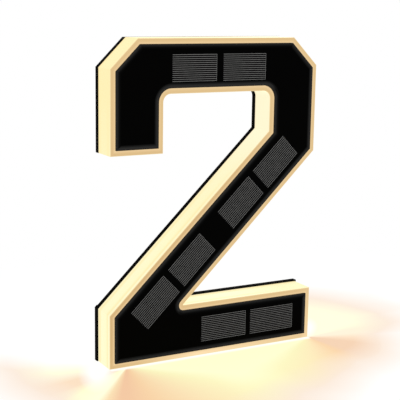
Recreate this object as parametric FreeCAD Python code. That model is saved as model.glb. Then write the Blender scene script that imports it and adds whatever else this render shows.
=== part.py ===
"""Solar house number sign in the form of the numeral 2.

Millimetres. X runs to the right seen from the front, Z is up and the front faces -Y.
The origin is at the middle of the footprint, on the surface that the sign stands on.
"""
import FreeCAD, Part
import math
import os

from FreeCAD import Vector

# Driving dimensions of the numeral
HEIGHT = 200.0
WIDTH = 144.0
STROKE = 34.5
TOP_STROKE = 33.0
BASE_OVERHANG = 0.6
CORNER_CUT = 17.6
HOOK_DROP = 68.8
DIAGONAL_ANGLE = math.radians(44.3)
DIAGONAL_FOOT = 33.9
DIAGONAL_STROKE = 34.25
COUNTER_RADIUS = 5.0
CROTCH_RADIUS = 0.3
SHARPEST_RADIUS = 0.1

# Driving dimensions of the build, front to back
PANEL_PROUD = 1.3
FRAME_DEPTH = 17.6
BACK_DEPTH = 3.8
BACK_OVERHANG = 0.4
BASE_BACK_OVERHANG = 0.9
RIM = 3.25
RIM_SLOPE_WIDTH = 1.7
RIM_SLOPE_DEPTH = 0.25
RIM_EDGE = 0.3
WALL = 2.4
FRONT_WALL = 2.0
RECESS = 1.7
PANEL_THICKNESS = 2.8
PANEL_GAP = 0.12
PANEL_BEVEL_WIDTH = 3.3
PANEL_BEVEL_DEPTH = 0.45
PANEL_BEVEL_STEPS = 4
ADHESIVE_MARGIN = 0.6
POCKET_INSET = 4.2
POCKET_DEPTH = 1.6
LIP_INSET = 2.6
LIP_HEIGHT = 2.5
BACK_BEVEL = 0.3
GASKET_INSET = 0.7
GASKET_WIDTH = 1.2
GASKET_HEIGHT = 0.8

# Solar cells
CELL_LENGTH = 30.9
CELL_WIDTH = 16.8
CELL_THICKNESS = 0.4
CELL_POCKET_DEPTH = 0.5
CELL_POCKET_GAP = 0.15
CELL_PITCH = 34.9
BASE_CELL_LENGTH = 33.1
BASE_CELL_PITCH = 36.0
PAIR_GAP = 17.2
TOP_PAIR_HEIGHT = 182.3
DIAGONAL_PAIR_END = 158.6
DIAGONAL_BAND = 8.95
TOP_PAIR_X = 0.3
BASE_PAIR_X = 24.3
BASE_PAIR_HEIGHT = 17.4
FINGER_COUNT = 14
FINGER_WIDTH = 0.24
FINGER_HEIGHT = 0.05
BUS_WIDTH = 0.12
PRINT_MARGIN = 0.35
SOLDER_PITCH = 16.0
SOLDER_RADIUS = 1.3
SOLDER_WINDOW = 1.6
FLEX_WIDTH = 6.0

# Fixings
BOSS_RADIUS = 3.2
BOSS_HOLE = 1.15
POST_RADIUS = 2.2
POST_HOLE = 0.8
POST_CORNER = 2.8
WIRE_HOLE_RADIUS = 2.4
PLATE_BOSS_RADIUS = 4.2
SCREW_HEAD_RADIUS = 2.7
SCREW_HEAD_HEIGHT = 1.6
SCREW_THREAD = 1.15
SCREW_LENGTH = 10.0
HEAD_ROUNDING = 0.4
CROSS_SPAN = 1.1
CROSS_WIDTH = 0.5
CROSS_DEPTH = 0.9
BOARD_SCREW_HEAD = 1.6
BOARD_SCREW_HEAD_HEIGHT = 1.0
BOARD_SCREW_THREAD = 0.8
BOARD_SCREW_LENGTH = 3.6
BOARD_HOLE = 1.1
PLATE_HOLE = 1.6
COUNTERBORE_RADIUS = 2.9
COUNTERBORE_DEPTH = 1.9
KEYHOLE_SPACING = 72.0
KEYHOLE_ENTRY = 4.2
KEYHOLE_SLOT = 2.2
KEYHOLE_LOW = 175.5
KEYHOLE_TRAVEL = 7.0
KEYHOLE_FACE = 1.8
KEYHOLE_DEPTH = 5.2
KEYHOLE_WALL = 1.5

# Electrical pieces
LED_BOARD_WIDTH = 7.0
LED_BOARD_THICKNESS = 1.0
LED_LENGTH = 3.5
LED_WIDTH = 2.8
LED_HEIGHT = 0.8
LED_PITCH = 16.0
BATTERY_RADIUS = 7.0
BATTERY_LENGTH = 49.0
BATTERY_CAP_LENGTH = 1.0
BATTERY_CAP_RADIUS = 2.6
BATTERY_EDGE = 0.6
HOLDER_HEIGHT = 10.3
HOLDER_FLOOR = 0.75
HOLDER_WIDTH = 17.0
HOLDER_MOUTH = 13.0
HOLDER_END_WALL = 2.5
CONTACT_REACH = 26.25
CONTACT_THICKNESS = 0.4
CONTACT_WIDTH = 9.0
LEAF_WIDTH = 3.0
BOARD_LENGTH = 40.0
BOARD_WIDTH = 22.0
BOARD_THICKNESS = 1.6
POST_HEIGHT = 3.0
WIRE_RADIUS = 0.55
WIRE_PAIR_HALF = 1.2
LED_WINDOW = 1.1
CHIP_LEAD = 0.4
INDUCTOR_SIZE = 6.0
INDUCTOR_HEIGHT = 2.8
INDUCTOR_ROUNDING = 1.4
CONNECTOR_LENGTH = 5.6
CONNECTOR_WIDTH = 4.0
CONNECTOR_HEIGHT = 4.4
SOCKET_FLOOR = 2.0

# Push button
BUTTON_RADIUS = 4.0
BUTTON_CLEARANCE = 0.3
BUTTON_RECESS_RADIUS = 8.0
BUTTON_RECESS_DEPTH = 1.8
COLLAR_RADIUS = 9.0
COLLAR_DEPTH = 4.6
FLANGE_RADIUS = 5.6
FLANGE_THICKNESS = 1.4
FLANGE_GAP = 0.8
BUTTON_SINK = 0.5
BUTTON_ROUNDING = 0.7
DISH_RADIUS = 2.9
DISH_DEPTH = 0.35
SEAL_CLEARANCE = 0.05
SWITCH_SIZE = 7.0
SWITCH_HEIGHT = 5.1
SWITCH_BORE = 1.8
SWITCH_FLOOR = 0.7
PLUNGER_RADIUS = 1.5
PLUNGER_START = 2.0

# Places worked out from the dimensions above
LEFT = -WIDTH / 2
RIGHT = WIDTH / 2
Y_PANEL = -(PANEL_PROUD + FRAME_DEPTH + BACK_DEPTH) / 2
Y_RIM = Y_PANEL + PANEL_PROUD
Y_FLOOR = Y_RIM + RECESS
Y_INNER = Y_FLOOR + FRONT_WALL
Y_SEAM = Y_RIM + FRAME_DEPTH
Y_POCKET = Y_SEAM + POCKET_DEPTH
Y_BACK = Y_SEAM + BACK_DEPTH
Y_PANEL_REAR = Y_PANEL + PANEL_THICKNESS
Y_CELL = Y_PANEL + CELL_POCKET_DEPTH - CELL_THICKNESS
Y_LED_BOARD = Y_POCKET - LED_BOARD_THICKNESS
Y_BOARD = Y_INNER + POST_HEIGHT
Y_BOARD_TOP = Y_BOARD + BOARD_THICKNESS
Y_BATTERY = Y_INNER + HOLDER_FLOOR + BATTERY_RADIUS
Y_BATTERY_WIRES = Y_INNER + HOLDER_HEIGHT + 0.8
STROKE_MIDDLE = STROKE / 2
HOOK_X = LEFT + STROKE_MIDDLE
ARM_X = RIGHT - STROKE_MIDDLE

SCREW_PLACES = [
    (HOOK_X, 139.0),
    (LEFT + 7.5, 176.0),
    (0.0, 175.0),
    (RIGHT - 7.5, 176.0),
    (RIGHT - 8.0, 140.0),
    (LEFT + 62.0, 84.5),
    (LEFT + 9.0, 9.0),
    (LEFT + 67.0, 9.0),
    (RIGHT - 7.4, 9.0),
]
BOARD_PLACE = (LEFT + 42.0, 17.0)
BUTTON_PLACE = (LEFT + 54.0, 13.5)
HOLDER_PLACE = (LEFT + 103.0, 12.1)
WIRE_HOLE_ALONG = 21.7
Y_FLANGE = Y_BACK - COLLAR_DEPTH - FLANGE_GAP - FLANGE_THICKNESS
Y_SOCKET = Y_BOARD_TOP + SOCKET_FLOOR


def diagonal_point(along, across):
    """A point of the diagonal stroke: along its upper edge from the foot, and in from that edge."""
    x = LEFT - BASE_OVERHANG + along * math.cos(DIAGONAL_ANGLE) + across * math.sin(DIAGONAL_ANGLE)
    z = DIAGONAL_FOOT + along * math.sin(DIAGONAL_ANGLE) - across * math.cos(DIAGONAL_ANGLE)
    return x, z


def numeral_corners():
    """Corners of the numeral, anticlockwise from the front, each with its inner radius."""
    foot_left = LEFT - BASE_OVERHANG
    foot_right = RIGHT + BASE_OVERHANG
    counter_right = RIGHT - STROKE
    counter_top = HEIGHT - TOP_STROKE
    slope = math.tan(DIAGONAL_ANGLE)
    lower_x, lower_z = diagonal_point(0.0, DIAGONAL_STROKE)
    crotch_x = lower_x + (STROKE - lower_z) / slope
    elbow_z = lower_z + (RIGHT - lower_x) * slope
    armpit_z = DIAGONAL_FOOT + (counter_right - foot_left) * slope
    return [
        (foot_left, 0.0, 0.0),
        (foot_right, 0.0, 0.0),
        (foot_right, STROKE, 0.0),
        (crotch_x, STROKE, CROTCH_RADIUS),
        (RIGHT, elbow_z, 0.0),
        (RIGHT, HEIGHT - CORNER_CUT, 0.0),
        (RIGHT - CORNER_CUT, HEIGHT, 0.0),
        (LEFT + CORNER_CUT, HEIGHT, 0.0),
        (LEFT, HEIGHT - CORNER_CUT, 0.0),
        (LEFT, HEIGHT - HOOK_DROP, 0.0),
        (LEFT + STROKE, HEIGHT - HOOK_DROP, 0.0),
        (LEFT + STROKE, counter_top, COUNTER_RADIUS),
        (counter_right, counter_top, COUNTER_RADIUS),
        (counter_right, armpit_z, 0.0),
        (foot_left, DIAGONAL_FOOT, 0.0),
    ]


def inset_corners(inset):
    """The numeral's corners moved in by the inset; inner radii change by as much."""
    corners = numeral_corners()
    count = len(corners)
    lines = []
    for index in range(count):
        x0, z0, _ = corners[index]
        x1, z1, _ = corners[(index + 1) % count]
        run = math.hypot(x1 - x0, z1 - z0)
        dx = (x1 - x0) / run
        dz = (z1 - z0) / run
        lines.append((x0 - dz * inset, z0 + dx * inset, dx, dz))
    moved = []
    for index in range(count):
        ax, az, adx, adz = lines[index - 1]
        bx, bz, bdx, bdz = lines[index]
        step = ((bx - ax) * bdz - (bz - az) * bdx) / (adx * bdz - adz * bdx)
        radius = corners[index][2]
        if radius:
            radius = max(radius + inset, SHARPEST_RADIUS)
        moved.append((ax + adx * step, az + adz * step, radius))
    return moved


def rounded_path(points, radii):
    """Straight edges through the points, with a tangent arc at each point that has a radius."""
    count = len(points)
    closed_starts = []
    closed_ends = []
    arcs = []
    for index in range(count):
        point = points[index]
        radius = radii[index]
        if radius == 0.0:
            closed_starts.append(point)
            closed_ends.append(point)
            arcs.append(None)
            continue
        towards = (points[index] - points[index - 1]).normalize()
        away = (points[(index + 1) % count] - points[index]).normalize()
        half_turn = towards.getAngle(away) / 2
        tangent = radius * math.tan(half_turn)
        inward = (away - towards).normalize()
        middle = point + inward * (radius / math.cos(half_turn) - radius)
        start = point - towards * tangent
        end = point + away * tangent
        closed_starts.append(start)
        closed_ends.append(end)
        arcs.append(Part.Arc(start, middle, end).toShape())
    return closed_starts, closed_ends, arcs


def numeral_wire(inset, y):
    """The numeral's outline, moved in by the inset, as a closed wire at depth y."""
    corners = inset_corners(inset)
    points = [Vector(x, y, z) for x, z, _ in corners]
    starts, ends, arcs = rounded_path(points, [radius for _, _, radius in corners])
    edges = []
    for index in range(len(points)):
        if arcs[index]:
            edges.append(arcs[index])
        following = (index + 1) % len(points)
        edges.append(Part.LineSegment(ends[index], starts[following]).toShape())
    return Part.Wire(edges)


def slab(inset, y_front, y_rear):
    """A flat solid of the numeral's outline."""
    return Part.Face(numeral_wire(inset, y_front)).extrude(Vector(0, y_rear - y_front, 0))


def tapered_slab(inset_front, y_front, inset_rear, y_rear):
    """A flat solid whose outline changes evenly from front to rear."""
    wires = [numeral_wire(inset_front, y_front), numeral_wire(inset_rear, y_rear)]
    return Part.makeLoft(wires, True, True)


def peg(place, radius, y_front, y_rear):
    """A round solid with its axis front to back."""
    x, z = place
    return Part.makeCylinder(radius, y_rear - y_front, Vector(x, y_front, z), Vector(0, 1, 0))


def block(place, length, width, y_front, y_rear, angle=0.0):
    """A box centred on a place, its length turned up from +X by the angle."""
    x, z = place
    solid = Part.makeBox(length, y_rear - y_front, width, Vector(-length / 2, y_front, -width / 2))
    solid.rotate(Vector(0, 0, 0), Vector(0, -1, 0), math.degrees(angle))
    solid.translate(Vector(x, 0, z))
    return solid


def tube(points, radius):
    """A round wire along straight runs joined by tangent arcs."""
    path = [Vector(*point) for point in points]
    radii = [0.0]
    for before, here, after in zip(path, path[1:], path[2:]):
        turn = (here - before).getAngle(after - here)
        shorter = min((here - before).Length, (after - here).Length)
        radii.append(0.45 * shorter / math.tan(turn / 2))
    radii.append(0.0)
    starts, ends, arcs = rounded_path(path, radii)
    edges = []
    for index in range(len(path) - 1):
        if arcs[index]:
            edges.append(arcs[index])
        edges.append(Part.LineSegment(ends[index], starts[index + 1]).toShape())
    spine = Part.Wire(edges)
    profile = Part.Wire(Part.makeCircle(radius, path[0], path[1] - path[0]))
    return spine.makePipeShell([profile], True, False)


def save(name, shape):
    """Write one node; a list of solids is a group of like pieces."""
    if isinstance(shape, list):
        shape = Part.makeCompound(shape)
    shape.exportStep(os.path.join("parts", name + ".step"))


def cell_places():
    """Centre, turn and length of each solar cell: top pair, diagonal pairs from the top, base pair."""
    places = []
    for side in (-0.5, 0.5):
        places.append(((TOP_PAIR_X + side * CELL_PITCH, TOP_PAIR_HEIGHT), 0.0, CELL_LENGTH))
    across = DIAGONAL_BAND + CELL_WIDTH / 2
    pair_pitch = CELL_LENGTH + CELL_PITCH + PAIR_GAP
    for pair in range(2):
        for cell in range(2):
            along = DIAGONAL_PAIR_END - CELL_LENGTH / 2 - pair * pair_pitch - cell * CELL_PITCH
            places.append((diagonal_point(along, across), DIAGONAL_ANGLE, CELL_LENGTH))
    for side in (-0.5, 0.5):
        place = (BASE_PAIR_X + side * BASE_CELL_PITCH, BASE_PAIR_HEIGHT)
        places.append((place, 0.0, BASE_CELL_LENGTH))
    return places


def solder_places():
    """Two joints behind each cell, on its long centre line."""
    places = []
    for (x, z), angle, _ in cell_places():
        for side in (-0.5, 0.5):
            step = side * SOLDER_PITCH
            places.append((x + step * math.cos(angle), z + step * math.sin(angle)))
    return places


def post_places():
    """The four corners where the control board rests on its posts."""
    x, z = BOARD_PLACE
    reach_x = BOARD_LENGTH / 2 - POST_CORNER
    reach_z = BOARD_WIDTH / 2 - POST_CORNER
    return [(x + sx * reach_x, z + sz * reach_z) for sx in (-1, 1) for sz in (-1, 1)]


def keyhole_places():
    """Left and right keyholes, each at the centre of its round entry."""
    return [(side * KEYHOLE_SPACING / 2, KEYHOLE_LOW) for side in (-1, 1)]


def stadium(place, travel, radius, y_front, y_rear):
    """A rounded slot cutter that runs straight up from a place."""
    x, z = place
    ends = [peg(place, radius, y_front, y_rear), peg((x, z + travel), radius, y_front, y_rear)]
    middle = block((x, z + travel / 2), 2 * radius, travel, y_front, y_rear)
    return middle.multiFuse(ends)


def diffuser_body():
    """Opal shell: side walls, front wall with the panel's recess, screw bosses and board posts."""
    shell = tapered_slab(RIM_EDGE, Y_RIM, 0.0, Y_RIM + RIM_EDGE)
    shell = shell.fuse(slab(0.0, Y_RIM + RIM_EDGE, Y_SEAM))
    shell = shell.cut(slab(RIM, Y_RIM - 1.0, Y_FLOOR))
    shell = shell.cut(tapered_slab(RIM - RIM_SLOPE_WIDTH, Y_RIM, RIM, Y_RIM + RIM_SLOPE_DEPTH))
    shell = shell.cut(slab(WALL, Y_INNER, Y_SEAM + 1.0))
    bosses = [peg(place, BOSS_RADIUS, Y_INNER, Y_SEAM) for place in SCREW_PLACES]
    posts = [peg(place, POST_RADIUS, Y_INNER, Y_BOARD) for place in post_places()]
    shell = shell.multiFuse(bosses + posts)
    drill_depth = SCREW_LENGTH + 1.0
    holes = [peg(place, BOSS_HOLE, Y_SEAM - drill_depth, Y_SEAM) for place in SCREW_PLACES]
    holes += [peg(place, POST_HOLE, Y_INNER + 0.5, Y_BOARD) for place in post_places()]
    holes.append(peg(wire_hole_place(), WIRE_HOLE_RADIUS, Y_FLOOR - 1.0, Y_INNER + 1.0))
    for hole in holes:
        shell = shell.cut(hole)
    return shell


def wire_hole_place():
    """Where the wires from the cells pass the front wall, on the diagonal's centre line."""
    return diagonal_point(WIRE_HOLE_ALONG, STROKE_MIDDLE)


def front_panel():
    """Gloss black panel: bevelled face, a pocket for each cell and windows for its joints."""
    edge = RIM + PANEL_GAP
    panel = slab(edge, Y_PANEL + PANEL_BEVEL_DEPTH, Y_PANEL_REAR)
    outline = []
    for step in range(PANEL_BEVEL_STEPS + 1):
        turn = math.pi / 2 * step / PANEL_BEVEL_STEPS
        inset = edge + PANEL_BEVEL_WIDTH * (1.0 - math.sin(turn))
        outline.append((inset, Y_PANEL + PANEL_BEVEL_DEPTH * (1.0 - math.cos(turn))))
    for (inset_front, y_front), (inset_rear, y_rear) in zip(outline, outline[1:]):
        panel = panel.fuse(tapered_slab(inset_front, y_front, inset_rear, y_rear))
    width = CELL_WIDTH + 2 * CELL_POCKET_GAP
    pocket = (Y_PANEL - 1.0, Y_CELL + CELL_THICKNESS)
    for place, angle, length in cell_places():
        panel = panel.cut(block(place, length + 2 * CELL_POCKET_GAP, width, *pocket, angle))
    for place in solder_places():
        panel = panel.cut(peg(place, SOLDER_WINDOW, Y_PANEL, Y_PANEL_REAR + 1.0))
    return panel.removeSplitter()


def cell_flex():
    """One flexible circuit behind the panel: strips on the centre lines of the strokes."""
    upper = TOP_PAIR_HEIGHT
    across = DIAGONAL_BAND + CELL_WIDTH / 2
    corner_along = (ARM_X - diagonal_point(0.0, across)[0]) / math.cos(DIAGONAL_ANGLE)
    corner_z = diagonal_point(corner_along, across)[1]
    foot_x = diagonal_point(0.0, across)[0]
    top_left = TOP_PAIR_X - CELL_LENGTH
    base_right = BASE_PAIR_X + CELL_LENGTH
    half = FLEX_WIDTH / 2
    top_middle = (top_left + ARM_X + half) / 2
    base_middle = (foot_x - half + base_right) / 2
    layer = (Y_PANEL_REAR, Y_FLOOR)
    diagonal_middle = diagonal_point(corner_along / 2, across)
    strips = [
        block((top_middle, upper), ARM_X + half - top_left, FLEX_WIDTH, *layer),
        block((ARM_X, (upper + corner_z) / 2), FLEX_WIDTH, upper + half - corner_z, *layer),
        block(diagonal_middle, corner_along + half, FLEX_WIDTH, *layer, DIAGONAL_ANGLE),
        block((base_middle, BASE_PAIR_HEIGHT), base_right - foot_x + half, FLEX_WIDTH, *layer),
    ]
    return strips[0].multiFuse(strips[1:]).removeSplitter()


def panel_adhesive(flex):
    """Bonding film between the panel and the recess floor, cut out round the flexible circuit."""
    film = slab(RIM + PANEL_GAP + ADHESIVE_MARGIN, Y_PANEL_REAR, Y_FLOOR)
    film = film.cut(flex)
    film = film.cut(peg(wire_hole_place(), WIRE_HOLE_RADIUS, Y_PANEL_REAR - 1.0, Y_FLOOR + 1.0))
    return max(film.Solids, key=lambda solid: solid.Volume)


def contact_grid(place, angle, length):
    """Printed metal fingers along the cell, joined by a thin bar at one end."""
    x, z = place
    layer = (Y_CELL - FINGER_HEIGHT, Y_CELL)
    print_length = length - 2 * PRINT_MARGIN
    print_width = CELL_WIDTH - 2 * PRINT_MARGIN
    span = print_width - FINGER_WIDTH
    pitch = span / (FINGER_COUNT - 1)
    bars = []
    for index in range(FINGER_COUNT):
        offset = index * pitch - span / 2
        centre = (x - offset * math.sin(angle), z + offset * math.cos(angle))
        bars.append(block(centre, print_length, FINGER_WIDTH, *layer, angle))
    reach = (print_length - BUS_WIDTH) / 2
    end = (x + reach * math.cos(angle), z + reach * math.sin(angle))
    bus = block(end, BUS_WIDTH, print_width, *layer, angle)
    return bus.multiFuse(bars).removeSplitter()


def cover_blank(overhang):
    """The back plate's outline as a flat solid with a bevelled rear edge, larger than the shell."""
    y_edge = Y_BACK - BACK_BEVEL
    blank = slab(-overhang, Y_SEAM, y_edge)
    return blank.fuse(tapered_slab(-overhang, y_edge, BACK_BEVEL - overhang, Y_BACK))


def back_plate():
    """Black rear cover: locating lip, gasket groove, screw bosses, keyhole boxes, button collar.

    Its edge overhangs the shell, most round the base, but stays level with it at the foot, at the
    top and under the hook.
    """
    depth = (Y_SEAM - 1.0, Y_BACK + 1.0)
    base_height = STROKE + BASE_BACK_OVERHANG
    base = cover_blank(BASE_BACK_OVERHANG)
    base = base.common(block((0.0, base_height / 2), 2 * WIDTH, base_height, *depth))
    plate = cover_blank(BACK_OVERHANG).common(block((0.0, HEIGHT / 2), 2 * WIDTH, HEIGHT, *depth))
    plate = plate.fuse(base)
    under_hook = (HOOK_X, HEIGHT - HOOK_DROP - BACK_OVERHANG)
    plate = plate.cut(block(under_hook, STROKE + 2 * WALL, 2 * BACK_OVERHANG, *depth))
    plate = plate.cut(slab(POCKET_INSET, Y_SEAM - 1.0, Y_POCKET))
    lip = slab(LIP_INSET, Y_SEAM - LIP_HEIGHT, Y_SEAM).cut(slab(POCKET_INSET, Y_SEAM - LIP_HEIGHT, Y_SEAM))
    inner = [lip]
    inner += [peg(place, PLATE_BOSS_RADIUS, Y_SEAM, Y_POCKET) for place in SCREW_PLACES]
    box_front = Y_BACK - KEYHOLE_DEPTH - KEYHOLE_WALL
    for place in keyhole_places():
        inner.append(stadium(place, KEYHOLE_TRAVEL, KEYHOLE_ENTRY + KEYHOLE_WALL, box_front, Y_POCKET))
    inner.append(peg(BUTTON_PLACE, COLLAR_RADIUS, Y_BACK - COLLAR_DEPTH, Y_POCKET))
    plate = plate.multiFuse(inner)
    cutters = [gasket_ring()]
    for place in SCREW_PLACES:
        cutters.append(peg(place, PLATE_HOLE, Y_SEAM - 1.0, Y_BACK))
        cutters.append(peg(place, COUNTERBORE_RADIUS, Y_BACK - COUNTERBORE_DEPTH, Y_BACK + 1.0))
    for place in keyhole_places():
        cavity = (Y_BACK - KEYHOLE_DEPTH, Y_BACK - KEYHOLE_FACE)
        cutters.append(stadium(place, KEYHOLE_TRAVEL, KEYHOLE_ENTRY, *cavity))
        cutters.append(stadium(place, KEYHOLE_TRAVEL, KEYHOLE_SLOT, Y_BACK - KEYHOLE_DEPTH, Y_BACK + 1.0))
        cutters.append(peg(place, KEYHOLE_ENTRY, Y_BACK - KEYHOLE_DEPTH, Y_BACK + 1.0))
    bore = BUTTON_RADIUS + BUTTON_CLEARANCE
    cutters.append(peg(BUTTON_PLACE, bore, Y_BACK - COLLAR_DEPTH - 1.0, Y_BACK + 1.0))
    cutters.append(peg(BUTTON_PLACE, BUTTON_RECESS_RADIUS, Y_BACK - BUTTON_RECESS_DEPTH, Y_BACK + 1.0))
    for cutter in cutters:
        plate = plate.cut(cutter)
    return plate.removeSplitter()


def gasket_ring():
    """Silicone ring that the shell's rear edge presses on, the whole way round the seam."""
    outer = slab(GASKET_INSET, Y_SEAM, Y_SEAM + GASKET_HEIGHT)
    return outer.cut(slab(GASKET_INSET + GASKET_WIDTH, Y_SEAM - 1.0, Y_SEAM + GASKET_HEIGHT + 1.0))


def screw(place, y_head, head_radius, head_height, shank, length):
    """Pan-head screw driven from the rear, with a cross recess in its head."""
    y_under = y_head - head_height
    head = peg(place, head_radius, y_under, y_head)
    rim = head.Edges[0]
    for edge in head.Edges:
        if edge.CenterOfMass.y > rim.CenterOfMass.y:
            rim = edge
    head = head.makeFillet(head_height * HEAD_ROUNDING, [rim])
    slot = head_radius * CROSS_SPAN
    recess = block(place, slot, CROSS_WIDTH, y_head - CROSS_DEPTH, y_head + 1.0)
    recess = recess.fuse(block(place, CROSS_WIDTH, slot, y_head - CROSS_DEPTH, y_head + 1.0))
    body = head.fuse(peg(place, shank, y_under - length, y_under))
    return body.cut(recess).removeSplitter()


def battery_cell():
    """Round lithium cell with its raised positive cap, lying along the base stroke."""
    x, z = HOLDER_PLACE
    along = Vector(1, 0, 0)
    start = Vector(x - BATTERY_LENGTH / 2, Y_BATTERY, z)
    can = Part.makeCylinder(BATTERY_RADIUS, BATTERY_LENGTH, start, along)
    can = can.makeFillet(BATTERY_EDGE, [edge for edge in can.Edges if len(edge.Vertexes) == 1])
    cap = Part.makeCylinder(BATTERY_CAP_RADIUS, BATTERY_CAP_LENGTH, start + along * BATTERY_LENGTH, along)
    return can.fuse(cap)


def battery_holder():
    """Open cradle on the front wall, with an end wall for each contact."""
    x, z = HOLDER_PLACE
    room_length = 2 * CONTACT_REACH + CONTACT_THICKNESS + 0.1
    start = Vector(x - room_length / 2, Y_BATTERY, z)
    outer_length = room_length + 2 * HOLDER_END_WALL
    outer = block(HOLDER_PLACE, outer_length, HOLDER_WIDTH, Y_INNER, Y_INNER + HOLDER_HEIGHT)
    room = Part.makeCylinder(BATTERY_RADIUS + 0.2, room_length, start, Vector(1, 0, 0))
    mouth = block(HOLDER_PLACE, room_length, HOLDER_MOUTH, Y_BATTERY + 2.0, Y_INNER + HOLDER_HEIGHT + 1.0)
    return outer.cut(room).cut(mouth)


def battery_contacts():
    """Sprung plates at both ends of the cradle; the minus one stands further off the cell."""
    x, z = HOLDER_PLACE
    contacts = []
    for side, reach in ((-1, BATTERY_LENGTH / 2), (1, BATTERY_LENGTH / 2 + BATTERY_CAP_LENGTH)):
        middle = (x + side * CONTACT_REACH, z)
        plate_front = Y_BATTERY - CONTACT_WIDTH / 2
        plate = block(middle, CONTACT_THICKNESS, CONTACT_WIDTH, plate_front, Y_BATTERY_WIRES + 0.8)
        inner_face = CONTACT_REACH - CONTACT_THICKNESS / 2
        leaf_x = x + side * (inner_face + reach) / 2
        leaf_depth = (Y_BATTERY - LEAF_WIDTH / 2, Y_BATTERY + LEAF_WIDTH / 2)
        leaf = block((leaf_x, z), inner_face - reach, LEAF_WIDTH, *leaf_depth)
        contacts.append(plate.fuse(leaf).removeSplitter())
    return contacts


def control_board():
    """Circuit board on four posts of the shell."""
    board = block(BOARD_PLACE, BOARD_LENGTH, BOARD_WIDTH, Y_BOARD, Y_BOARD_TOP)
    for place in post_places():
        board = board.cut(peg(place, BOARD_HOLE, Y_BOARD - 1.0, Y_BOARD_TOP + 1.0))
    return board


def chip(place, length, width, height, leads):
    """Moulded circuit package with a row of leads on both long sides."""
    body = block(place, length, width, Y_BOARD_TOP + 0.1, Y_BOARD_TOP + height)
    pieces = []
    pitch = length / leads
    for index in range(leads):
        lead_x = place[0] + (index + 0.5) * pitch - length / 2
        pieces.append(block((lead_x, place[1]), CHIP_LEAD, width + 1.8, Y_BOARD_TOP, Y_BOARD_TOP + 0.3))
    return body.multiFuse(pieces).removeSplitter()


def storage_inductor(place):
    """Square ferrite inductor with rounded sides."""
    core = block(place, INDUCTOR_SIZE, INDUCTOR_SIZE, Y_BOARD_TOP, Y_BOARD_TOP + INDUCTOR_HEIGHT)
    upright = [edge for edge in core.Edges if abs(edge.Vertexes[0].Y - edge.Vertexes[-1].Y) > 1.0]
    return core.makeFillet(INDUCTOR_ROUNDING, upright)


def connector(place):
    """Two-way wire connector, open towards the rear for its wires."""
    y_rear = Y_BOARD_TOP + CONNECTOR_HEIGHT
    housing = block(place, CONNECTOR_LENGTH, CONNECTOR_WIDTH, Y_BOARD_TOP, y_rear)
    for side in (-1, 1):
        way = (place[0] + side * WIRE_PAIR_HALF, place[1])
        housing = housing.cut(peg(way, WIRE_RADIUS, Y_SOCKET, y_rear + 1.0))
    return housing


def switch_body():
    """Latching switch on the control board, bored for its plunger."""
    y_rear = Y_BOARD_TOP + SWITCH_HEIGHT
    body = block(BUTTON_PLACE, SWITCH_SIZE, SWITCH_SIZE, Y_BOARD_TOP, y_rear)
    return body.cut(peg(BUTTON_PLACE, SWITCH_BORE, Y_BOARD_TOP + SWITCH_FLOOR, y_rear + 1.0))


def button_cap():
    """Push button in the back plate: dished cap with a flange that keeps it from falling out."""
    y_face = Y_BACK - BUTTON_SINK
    cap = peg(BUTTON_PLACE, BUTTON_RADIUS, Y_FLANGE, y_face)
    rim = max(cap.Edges, key=lambda edge: edge.CenterOfMass.y)
    cap = cap.makeFillet(BUTTON_ROUNDING, [rim])
    x, z = BUTTON_PLACE
    ball = (DISH_RADIUS ** 2 + DISH_DEPTH ** 2) / (2 * DISH_DEPTH)
    cap = cap.cut(Part.makeSphere(ball, Vector(x, y_face + ball - DISH_DEPTH, z)))
    return cap.fuse(peg(BUTTON_PLACE, FLANGE_RADIUS, Y_FLANGE, Y_FLANGE + FLANGE_THICKNESS)).removeSplitter()


def button_seal():
    """Silicone washer on the button's flange, closing on the collar at rest."""
    y_front = Y_FLANGE + FLANGE_THICKNESS
    y_rear = Y_BACK - COLLAR_DEPTH - SEAL_CLEARANCE
    washer = peg(BUTTON_PLACE, FLANGE_RADIUS, y_front, y_rear)
    return washer.cut(peg(BUTTON_PLACE, BUTTON_RADIUS, y_front, y_rear))


def switch_plunger():
    """Slim rod from the button's flange into the switch."""
    return peg(BUTTON_PLACE, PLUNGER_RADIUS, Y_BOARD_TOP + PLUNGER_START, Y_FLANGE)


def led_strips():
    """Centre, length and turn of each light board, by name."""
    middle = STROKE_MIDDLE
    return {
        "hook": ((HOOK_X, 162.0), 34.0, math.pi / 2),
        "top": ((0.0, 192.1), 84.0, 0.0),
        "right": ((ARM_X, 164.0), 28.0, math.pi / 2),
        "diagonal": (diagonal_point(82.5, middle), 105.0, DIAGONAL_ANGLE),
        "base": ((LEFT + 89.0, 26.5), 98.0, 0.0),
    }


def led_places():
    """Centre and turn of each light, evenly spaced along its board."""
    places = []
    for (x, z), length, angle in led_strips().values():
        count = round(length / LED_PITCH)
        for index in range(count):
            step = (index + 0.5) * length / count - length / 2
            places.append(((x + step * math.cos(angle), z + step * math.sin(angle)), angle))
    return places


def led_package(place, angle):
    """Small white package with a recessed window for the phosphor."""
    body = block(place, LED_LENGTH, LED_WIDTH, Y_LED_BOARD - LED_HEIGHT, Y_LED_BOARD, angle)
    return body.cut(peg(place, LED_WINDOW, Y_LED_BOARD - LED_HEIGHT, Y_LED_BOARD - LED_HEIGHT / 2))


def wire_pair(route):
    """Two wires side by side; route(side) gives the points of one of them."""
    return [tube(route(side * WIRE_PAIR_HALF), WIRE_RADIUS) for side in (-1, 1)]


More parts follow.
